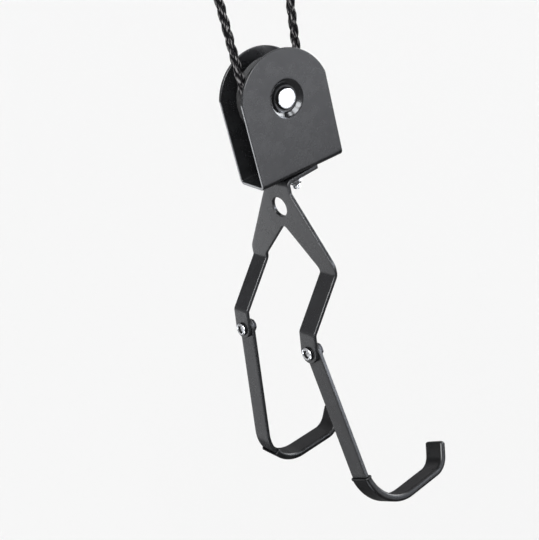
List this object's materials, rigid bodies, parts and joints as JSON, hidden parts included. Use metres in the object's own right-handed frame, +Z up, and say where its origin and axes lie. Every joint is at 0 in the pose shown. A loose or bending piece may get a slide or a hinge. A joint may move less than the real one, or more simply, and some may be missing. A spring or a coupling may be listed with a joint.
{
  "type": "ceiling hoist pulley block with hooks",
  "caption": "Rope-hung pulley block under a ceiling plate, with a swivelling steel fork and rubber-sleeved hooks that swing to lift a handlebar or rail.",
  "frame": {"origin": "middle of the ceiling plate's screw holes, on the ceiling face", "axes": "+Z up into the ceiling; +X along the ceiling plate, towards the slanting rope; +Y along the pulley axle, towards the left hook"},
  "size_m": [0.1487, 0.1467, 0.434],
  "materials": {
    "black_steel": "satin black powder coat",
    "black_rubber": "semi-gloss moulded rubber",
    "rope": "twisted black polyester rope",
    "zinc": "bright zinc plate",
    "black_zinc": "black zinc plate",
    "wheel_plastic": "moulded black nylon",
    "bronze": "sintered bronze",
    "white_plastic": "natural nylon"
  },
  "bodies": {
    "hanger": {"ceiling_plate": "black_steel", "left_rope_saddle": "black_steel", "right_rope_saddle": "black_steel", "saddle_rivets": "zinc", "rope_grommets": "black_rubber", "pulley_rope": "rope", "left_rope_knot": "rope", "right_rope_knot": "rope", "pulley_yoke": "black_steel", "axle_rivet": "zinc", "axle_washers": "zinc", "swivel_screw": "zinc", "swivel_washer": "zinc", "swivel_nut": "zinc"},
    "wheel": {"pulley_wheel": "wheel_plastic", "wheel_bush": "bronze"},
    "fork": {"hook_fork": "black_steel", "left_pivot_screw": "zinc", "left_pivot_nut": "black_zinc", "left_slip_ring": "white_plastic", "left_pivot_washer": "black_zinc", "right_pivot_screw": "zinc", "right_pivot_nut": "black_zinc", "right_slip_ring": "white_plastic", "right_pivot_washer": "black_zinc"},
    "left_hook": {"left_hook_bar": "black_steel", "left_hook_sleeve": "black_rubber"},
    "right_hook": {"right_hook_bar": "black_steel", "right_hook_sleeve": "black_rubber"}
  },
  "joints": [
    {"name": "pulley_spin", "type": "hinge", "parent": "hanger", "child": "wheel", "pos_m": [-0.0053, 0, -0.125], "axis": [0, 1, 0], "continuous": true},
    {"name": "fork_swivel", "type": "hinge", "parent": "hanger", "child": "fork", "pos_m": [-0.0053, 0, -0.1805], "axis": [0, 0, 1], "continuous": true},
    {"name": "left_hook_swing", "type": "hinge", "parent": "fork", "child": "left_hook", "pos_m": [-0.06669, 0.02929, -0.297], "axis": [0.9747, 0.1405, -0.1736], "range_deg": [-8, 62]},
    {"name": "right_hook_swing", "type": "hinge", "parent": "fork", "child": "right_hook", "pos_m": [-0.05592, -0.04544, -0.297], "axis": [0.9747, 0.1405, -0.1736], "range_deg": [-37, 33]}
  ]
}
